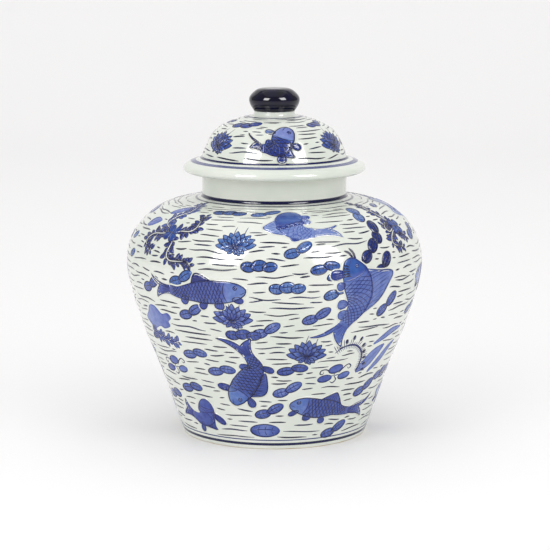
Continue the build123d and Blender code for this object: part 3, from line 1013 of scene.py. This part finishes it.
# every koi is its spine from nose to tail, its depth, the side its back is on, and its fins
kois = {
    "swimming": {
        "spine": [(34, 1.5), (19, 0), (4, -1.2), (-12, -2.2), (-28, -4), (-38.5, -2.3)],
        "deep": 10, "back": 1,
        "dorsal": {"from": 0.4, "to": 0.67, "rim": [(-3, 12), (-9, 14), (-13, 12.5)], "darker": 0.28,
                   "rays": 8},
        "tail": [(-62, 8), (-51, 0), (-55.5, -11.5)],
        "fins": [(22, -6, 31, -7.5, 5.5, 0.1), (11, -8, 9.5, -15.5, 8.5, 0), (-1, -8.5, -7, -16, 6.5, 0.12),
                 (-19, -7, -25.5, -12.5, 7, 0.02)],
        "tone": 0.54, "fresh": 0.1, "line": 0.95, "pitch": 3.2,
    },
    "basking": {
        "spine": [(2, 21), (1, 13), (-1, 3), (2, -5), (9, -9.5), (19, -10)], "deep": 11.5, "back": 1,
        "dorsal": {"from": 0.36, "to": 0.6, "rim": [(-18, 1), (-23, -4), (-16, -9), (-9, -11)],
                   "darker": -0.04, "rays": 10},
        "tail": [(44, -16), (33, -7), (40, -3)],
        "fins": [(8, 10, 17, 9, 6.5, 0.25), (9, 3, 17, 2.5, 5, -0.05), (2, -11, 3.5, -17.5, 9, 0.42)],
        "tone": 0.3, "fresh": 0.3, "headFresh": 0.9, "headShade": 0.34, "head": 0.44, "line": 0.5,
        "pitch": 3.4, "faceShown": False, "scallops": 6,
    },
    "diving": {
        "spine": [(-5, 30), (-4.5, 22), (0, 10), (3.5, -2), (1.5, -14), (-8.5, -29)],
        "deep": 13.8, "back": -1,
        "dorsal": {"from": 0.24, "to": 0.76, "rim": [(24, 17), (36, 16), (40.5, 12.5), (35, 4), (25, -9)],
                   "darker": 0.0, "rays": 13},
        "tail": [(-6, -49.5), (-16.5, -33.5), (-37, -38)],
        "fins": [(-12, 17, -25, 16, 8, 0.3), (-12, 8, -19, 5.5, 7, 0.03), (-8, -9, -17, -9.5, 8, 0),
                 (-6, -17, -15, -20, 8, 0)],
        "barbels": [[(-3, 29), (-6, 34), (-10, 36)], [(-1, 29), (-2, 34), (-5, 38)]],
        "tone": 0.44, "fresh": 0.3, "headFresh": 0.8, "headShade": 0.14, "line": 0.84, "pitch": 3.6,
        "stripes": 5,
    },
    "feeding": {
        "spine": [(-16, -28), (-13, -19), (-7, -9), (0, 2), (4.5, 11), (-0.5, 22.5)], "deep": 11, "back": 1,
        "dorsal": {"from": 0.26, "to": 0.68, "rim": [(9, -17.5), (13, -12), (13.5, -2), (12.5, 5)],
                   "darker": 0.06, "rays": 15},
        "tail": [(3, 38.5), (-7, 31), (-28.5, 37)],
        "fins": [(-14, -13, -30, -9.5, 6.5, 0.14), (-3, -20, 0.5, -29, 6.5, 0.05), (0, 11, -9, 10.8, 5.5, 0),
                 (9, 11, 19.5, 6.5, 6, 0.05)],
        "tone": 0.58, "fresh": 0.25, "line": 0.98, "pitch": 3.2,
    },
    "turning": {
        "spine": [(3, 15), (2, 7), (0, -2), (-6, -6), (-15.5, -3)], "deep": 9, "back": -1,
        "dorsal": {"from": 0.38, "to": 0.7, "rim": [(8, -10), (9.5, -14), (2, -13)], "darker": 0.05,
                   "rays": 7},
        "tail": [(-30.5, -5.5), (-24, 1.5), (-23.5, 11)],
        "fins": [(7, 2, 19, -7, 6, 0.14), (-6, -9, -7, -18, 5, 0)],
        "tone": 0.62, "fresh": 0.12, "faceShown": False, "headShade": 0.0, "headFresh": 0.12, "pitch": 99,
    },
    "gliding": {
        "spine": [(-29.5, 5), (-18, 3.5), (-5, 0), (10, -1.5), (20, -5), (28, -6.5)], "deep": 9.2, "back": -1,
        "dorsal": {"from": 0.44, "to": 0.82, "rim": [(4, 11), (12, 13.5), (15, 10)], "darker": 0.06,
                   "rays": 10},
        "tail": [(60, 5.5), (42, -5), (47.5, -15.5)],
        "fins": [(-21, -1, -29, -5, 4.5, 0.05), (-14, -4, -12.5, -11, 7, 0.08), (0, -8, 1, -15, 6, 0.03)],
        "tone": 0.55, "fresh": 0.2, "line": 0.96, "pitch": 3.2,
    },
    "lidKoi": {
        "spine": [(5, 19), (4, 11), (1, 2), (-4, -4.5), (-16, -4)], "deep": 9.6, "back": -1,
        "dorsal": {"from": 0.42, "to": 0.76, "rim": [(9, -7), (11, -12.5), (3, -12)], "darker": 0.02,
                   "rays": 6},
        "tail": [(-27, -4), (-21, 1.5), (-27.5, 10.5)],
        "fins": [(-4, 11, -12, 13.5, 6, -0.3), (8, -1, 17, -4.5, 6, 0.05), (-6, 0, -13, 1, 6.5, 0.04),
                 (0, -9, 0.5, -17, 8, 0)],
        "tone": 0.7, "fresh": 0.4, "headFresh": 0.0, "headShade": -0.36, "head": 0.36, "line": 1.15,
    },
}

pads = {
    "pair": [(-6, -1.2, 7.5, 4, 8), (5.5, 1.6, 7.2, 3.8, -6)],
    "rising": [(-5.5, -2.6, 7, 4.2, 15), (5, 2.8, 7.5, 4, 32)],
    "steep": [(-5.2, -4.6, 6.6, 4.6, 38), (4.6, 4.4, 7.6, 4.8, 48)],
    "tall": [(-1.5, -5.8, 6.4, 5.2, 65), (1.8, 5.0, 7.2, 5.2, 75)],
    "long": [(-9, -0.5, 6.2, 4.2, -8), (0, 0.8, 6.8, 4.6, 4), (9, -0.3, 6.2, 4.0, 8)],
    "single": [(0, 0, 12.5, 6.2, 0)],
    "small": [(0, 0, 6.5, 3.2, 20)],
    "three": [(-8.5, -1.5, 6.5, 3.8, 10), (1, -0.8, 7, 4.2, -5), (8.5, 2.4, 6, 3.6, 15)],
}

# the painted scene on the jar's front, by turn and along; the back has it again, mirrored
frontKois = [
    ("swimming", -25.7, 150.6), ("basking", 7.4, 212.5), ("diving", 32.4, 147.6), ("feeding", -10.9, 70.5),
    ("turning", -40.8, 29.5), ("gliding", 25.8, 38.8),
]
frontLotuses = [(-15.7, 192.5), (-16.5, 128.9), (13.9, 95.2)]
frontPads = [
    ("long", -25, 229), ("rising", -4.5, 231), ("long", -5.7, 172.6), ("rising", -37.3, 158.6),
    ("rising", -54.6, 149), ("rising", -34.4, 129.6), ("long", -12.6, 112), ("rising", 9.4, 186.2),
    ("long", 4.8, 154.6), ("rising", -3.2, 116.5),
    ("rising", 16.6, 128.9), ("rising", 24.2, 150.1), ("steep", 40, 181.5), ("steep", 45.4, 168.3),
    ("tall", 47.3, 198.5), ("tall", 45.9, 222), ("steep", 49.6, 133), ("pair", -37.1, 89.6),
    ("pair", -24.7, 75.6), ("pair", -46, 54), ("rising", -2.5, 37.5), ("single", -5.3, 18.5),
    ("pair", 8.5, 78.5), ("rising", 6.5, 58.5), ("rising", 36.5, 15.5), ("rising", 52, 52),
    ("pair", 19.4, 170.5), ("small", 22.4, 163.5), ("small", -77, 186), ("small", -72, 171),
    ("pair", 66, 62), ("pair", -66, 42), ("small", -62, 100),
]
sidePieces = {
    "kois": [("swimming", 86, 150, True), ("gliding", 88, 38, False), ("feeding", -90, 92, True),
             ("basking", 92, 214, False)],
    "lotuses": [(90, 98), (-90, 150), (-90, 30)],
    "pads": [("pair", 74, 122), ("rising", 104, 176), ("pair", -90, 182), ("single", -90, 212),
             ("rising", 76, 190), ("three", 108, 118), ("pair", 72, 62), ("rising", 108, 72),
             ("single", 90, 15), ("pair", -98, 132), ("rising", -84, 56), ("pair", 106, 232),
             ("small", 72, 228)],
}


def paintScene(wall, back):
    # one face of the jar; on the back it is mirrored, turned half round
    def spotAt(turn, along, lean=0, size=1):
        return newSpot(wall, 180 - turn if back else turn, along, -lean if back else lean, size, back)

    for kind, turn, along in frontPads:
        # the brush was fuller high on the right side
        deeper = 0.36 if turn > 38 and 165 < along < 210 else 0.08 * math.sin(turn * 1.3 + along)
        paintPad(pools, spotAt(turn, along), pads[kind], 0.6 + deeper, 0.75 if along > 150 else 0.2)
    for n, (turn, along) in enumerate(frontLotuses):
        paintLotus(plants, spotAt(turn, along, 3 - 3 * n), 0.5 + 0.03 * n, (0.85, 0.15, 0.3)[n])
    sprig = spotAt(-47.8, 196.5)
    for leaf, tone, arm in (
            (7, 1.05, [(4, 1), (9, 3), (18, 3.7), (22, 8), (21, 15), (20, 24)]),
            (7, 1.05, [(-4, 0), (-12, -2), (-22.7, -3.7), (-29.6, -9), (-28, -14), (-18.2, -19)]),
            (6.5, 1.05, [(3, -4), (6, -8), (5, -14), (4.5, -20), (9.2, -24), (18, -24), (27, -23.6),
                         (33.6, -28)]),
            (6.5, 0.8, [(-6, 4), (-13.9, 8.3), (-11.8, 15.4), (-6.8, 21), (-1.6, 27), (-5, 38), (-12, 48)])):
        paintSprig(plants, sprig, arm, leaf, tone)
    paintFlower(plants, sprig)
    for arm, width in (([(-24, 20), (-14, 28), (-6, 38)], 9), ([(-47, 2), (-36, 8), (-26, 10)], 9)):
        paintLeaf(plants, sprig, arm, width, 0.42, 0.1)
    sprig = spotAt(58, 192)
    for arm in ([(9, 6.5), (6, 14.6), (1.7, 23), (-0.8, 31), (3, 43), (1.4, 52)],
                [(10, 5), (1.7, 2.6), (-5.7, -2.8), (-7, -8), (1, -11.5), (7, -13.2)],
                [(12, 6), (9, 0), (17, -2), (20, -8)], [(9, 8), (-2.4, 3.3), (-5, 9), (3.4, 12.8)]):
        paintSprig(plants, sprig, arm, 6.2, 1.0, arm[1][0] < 8)
    paintFlower(plants, within(sprig, 12, 7))
    branch = [(-26, 4), (-16, 1), (-6.5, -1.6), (2.7, -2.8), (13, -2.5)]
    paintSprig(plants, spotAt(-51, 101), branch, 6.5, 0.72, False)
    curl = [(0.8, -8.5), (2, 4.5), (-1.4, 12.5), (-8.4, 18), (-15.7, 19), (-22, 17.4), (-28, 12.5)]
    paintWeed(plants, spotAt(41.4, 80), curl)
    for arm, width in (
            ([(-14, -21), (-4, -14), (4, -6), (15, 1)], 12), ([(-2, 4), (9, 8.5), (23, 13), (40, 14)], 6),
            ([(2, -24), (14, -14), (24, -4), (34, 2)], 7)):
        paintLeaf(plants, spotAt(49, 92), arm, width, 0.4, 0.2)
    for turn, along in ((-54, 74), (29, 72)):
        paintCluster(plants, spotAt(turn, along))
    leaf = smoothPath([
        (-13, 1), (-7, 8), (1, 8.5), (6, 5), (10, 2), (18, 4), (21, 0), (16, -4), (17, -8), (8, -11.5),
        (2, -10), (-9, -14), (-16, -10), (-20, -5),
    ], 4, True)
    addShape(plants, spotAt(-56, 121), leaf, lambda x, y: 0.4 + 0.004 * x, 0.06, 0.1, 0.5, 0.55, 0.08, 0.1)
    for kind, turn, along in frontKois:
        paintKoi(fishes, spotAt(turn, along), kois[kind])


# ripples: loose horizontal strokes in rows, left out wherever something else is painted


def coverMask(wall, layers, halo):
    # which spots are already painted, in cells of a quarter degree by half a millimetre
    low, high = wall["along"][0], wall["along"][-1]
    mask = numpy.zeros((1440, int((high - low) * 2) + 2), bool)
    for layer in layers:
        for (turn, along), wide in zip(layer["spots"], layer["wide"]):
            radius = numpy.interp(along, wall["along"], wall["radius"])
            reach = halo + wide / 2
            up = int((along - low) * 2)
            for step in range(-int(reach * 2), int(reach * 2) + 1):
                across = math.degrees(math.sqrt(max(reach**2 - step**2 / 4, 0)) / radius) * 4
                if 0 <= up + step < mask.shape[1]:
                    middle = (turn + 180) * 4
                    columns = numpy.arange(int(middle - across), int(middle + across) + 1) % 1440
                    mask[columns, up + step] = True
    return mask


# one ripple's length, the gap to the next, its rise, drift and swell, its brush and its ink
rippleLook = {
    "length": (15, 42), "gap": (1.8, 6.5), "rise": (-1.1, 1.1), "drift": (-1.0, 1.0), "swell": (-0.8, 0.8),
    "wide": (1.05, 1.5), "tone": (0.85, 1.2), "step": 1.2,
}


def paintRipples(layer, wall, mask, rows, dice):
    def pick(name):
        return dice.uniform(*rippleLook[name])

    low, step = wall["along"][0], rippleLook["step"]
    for row in rows:
        turn = -180 + dice.uniform(0, 4)
        while turn < 178:
            radius = numpy.interp(row, wall["along"], wall["radius"])
            length, drift, swell = pick("length"), pick("drift"), pick("swell")
            bend, rise = dice.uniform(0, math.tau), pick("rise")
            path, last = [], int(length / step)
            for k in range(last + 1):
                x = k * step
                y = row + rise + drift * x / 14 + swell * math.sin(bend + x / 4.5)
                here = turn + math.degrees(x / radius)
                free = here < 179 and not mask[int((here + 180) * 4) % 1440, int((y - low) * 2)]
                if free:
                    path.append((math.radians(here) * radius, y - row))
                if path and (not free or k == last):
                    if len(path) > 4:
                        wide, tone = pick("wide"), pick("tone")
                        addStroke(layer, newSpot(wall, 0, row), path, wide, tone, 0.06, 0.0, step=2.2)
                    path = []
            turn += math.degrees((length + pick("gap")) / radius)


jarWall = makeWall(jarOutside(), (jar["foot"], 0))
lidWall = makeWall(lidOutside(), (lid["dome"], lid["domeUp"]))
filmTree = paintTree()
dice = random.Random(41)

plants, pools, fishes = newLayer(), newLayer(), newLayer()
paintScene(jarWall, False)
paintScene(jarWall, True)
for kind, turn, along, flip in sidePieces["kois"]:
    paintKoi(fishes, newSpot(jarWall, turn, along, flip=flip), kois[kind])
for turn, along in sidePieces["lotuses"]:
    paintLotus(plants, newSpot(jarWall, turn, along), 0.5, 0.4)
for kind, turn, along in sidePieces["pads"]:
    paintPad(pools, newSpot(jarWall, turn, along), pads[kind], 0.62, 0.4)
ripples = newLayer()
covered = coverMask(jarWall, (plants, pools, fishes), 1.7)
paintRipples(ripples, jarWall, covered, numpy.arange(12, 241, 5.2), dice)
paintPiece("jar_plants", plants, jarWall, filmTree, cobalt)
paintPiece("jar_pads", pools, jarWall, filmTree, cobalt)
paintPiece("jar_kois", fishes, jarWall, filmTree, cobalt)
paintPiece("jar_ripples", ripples, jarWall, filmTree, liner)
print("jar painted")

plants, fishes = newLayer(), newLayer()
for turn in (5.7, 123, -117):
    paintKoi(fishes, newSpot(lidWall, turn, 18.4, flip=turn < 0), kois["lidKoi"])
for turn in (-56, 61, 180):
    paintLotus(plants, newSpot(lidWall, turn, 17.5, size=0.95), 0.66, 0.45)
for turn, along, size in (
        (-38, 40, 0.95), (61.3, 40, 0.85), (150, 42, 0.75), (-88, 42, 0.75), (-150, 38, 0.8), (92, 16, 0.8)):
    paintPad(plants, newSpot(lidWall, turn, along, size=size), pads["three"], 0.74, 0.3)
ripples = newLayer()
covered = coverMask(lidWall, (plants, fishes), 1.4)
paintRipples(ripples, lidWall, covered, numpy.arange(4.8, 54, 4.4), dice)
paintPiece("lid_plants", plants, lidWall, filmTree, cobalt)
paintPiece("lid_kois", fishes, lidWall, filmTree, cobalt)
paintPiece("lid_ripples", ripples, lidWall, filmTree, liner)
print("lid painted")


def ringProfile(wall, along, width):
    # a painted line round the pot, as a thin closed section on the clay
    lift, sink = 0.07, 0.06
    spots = numpy.array([(0.0, along + width * (k / 8 - 0.5)) for k in range(9)])
    places, outs = ontoWall(wall, spots)
    outer, inner = places + outs * lift * mm, places - outs * sink * mm
    ring = [*outer, *inner[::-1], outer[0]]
    return [Vector((-p[1], p[2])) / mm for p in ring]


rings = {
    "jar_band_foot": (jarWall, 4.9, 2.5, "#131845"), "jar_band_foot_thin": (jarWall, 8.9, 1.0, "#2b3370"),
    "jar_band_neck": (jarWall, 255.4, 3.2, "#060a3c"), "jar_band_neck_thin": (jarWall, 249.6, 2.0, "#23294f"),
    "lid_band_dome": (lidWall, -0.2, 2.4, "#10154f"), "lid_band_brim": (lidWall, -7.6, 4.4, "#4a5080"),
    "lid_band_stem": (lidWall, 56.5, 2.4, "#1d2358"),
}
for name, (wall, along, width, code) in rings.items():
    band = newMaterial("cobaltBand" + code[1:], {"Roughness": 0.08, "Base Color": cleanHex(code)})[0]
    piece = throwPiece(name, ringProfile(wall, along, width), lambda p: False, 256, wheel, band, bareClay)
    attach(piece, "jar" if wall is jarWall else "lid")


# ---- studio ----


def addSoftbox(name, spot, aim, width, height, power):
    light = bpy.data.lights.new(name, "AREA")
    light.shape = "RECTANGLE"
    light.size = width
    light.size_y = height
    light.energy = power
    lamp = bpy.data.objects.new(name, light)
    lamp.location = spot
    lamp.rotation_euler = (Vector(aim) - Vector(spot)).to_track_quat("-Z", "Y").to_euler()
    bpy.context.scene.collection.objects.link(lamp)
    return lamp


# a white sweep: floor, curved rise and back wall in one sheet
sweepLook = {"front": -4.0, "bendFrom": 2.2, "bend": 1.2, "top": 4.0, "half": 4.0, "steps": 12}
reach, bend = sweepLook["bendFrom"], sweepLook["bend"]
quarter = [math.pi / 2 * k / sweepLook["steps"] for k in range(sweepLook["steps"] + 1)]
sweep = [(reach + bend * math.sin(angle), bend - bend * math.cos(angle)) for angle in quarter]
sweep = [(sweepLook["front"], 0.0), *sweep, (reach + bend, sweepLook["top"])]
floorMesh = bpy.data.meshes.new("whiteSweep")
floorMesh.from_pydata(
    [(x, y, z) for y, z in sweep for x in (-sweepLook["half"], sweepLook["half"])], [],
    [(2 * i, 2 * i + 1, 2 * i + 3, 2 * i + 2) for i in range(len(sweep) - 1)])
floorMesh.shade_smooth()
# seamless paper: matt and even, a near-white that the lights lift to white
paper = newMaterial("whiteBackdropPaper", {"Roughness": 0.9, "Base Color": cleanHex("#f7f6f6")})[0]
floorMesh.materials.append(paper)
floor = bpy.data.objects.new("floor", floorMesh)
bpy.context.scene.collection.objects.link(floor)

belly = (0, 0, 0.16)
for side, spot, power, gleam in (
        ("Left", (-1.00, -1.20, 1.18), 4.6, 34), ("Right", (1.02, -1.06, 1.28), 4.2, 32)):
    addSoftbox("key" + side, spot, belly, 0.95, 1.25, power)
    # the diffuser's bright face just in front, for what the glaze mirrors
    ahead = tuple(Vector(spot).lerp(Vector(belly), 0.015))
    face = addSoftbox("face" + side, ahead, belly, 0.7, 1.0, gleam)
    face.visible_diffuse = False
addSoftbox("overhead", (0, 0.2, 2.4), (0, 0, 0.1), 2.2, 2.2, 5.5)
addSoftbox("backdropWash", (0, 1.1, 2.6), (0, 3.4, 1.0), 3.0, 0.8, 6)

world = bpy.data.worlds.new("studio")
bpy.context.scene.world = world
world.use_nodes = True
sky = world.node_tree.nodes["Background"]
sky.inputs["Color"].default_value = (1, 1, 1, 1)
# white cloth fills the room with soft light, but its ceiling mirrors darker in the glaze
mirrored = addNode(world.node_tree, "ShaderNodeLightPath").outputs["Is Glossy Ray"]
strength = addNode(world.node_tree, "ShaderNodeMath", (mirrored, -0.55, 0.87), operation="MULTIPLY_ADD")
world.node_tree.links.new(strength.outputs[0], sky.inputs["Strength"])
bpy.context.scene.view_settings.view_transform = "Standard"

camera = bpy.data.objects.new("camera", bpy.data.cameras.new("camera"))
camera.data.lens = 140.3
camera.data.shift_x = 0.0011
camera.location = (0, -1.847, 0.4486)
camera.rotation_euler = (math.radians(90 - 9.59), 0, 0)
bpy.context.scene.collection.objects.link(camera)
bpy.context.scene.camera = camera

print("studio lit")
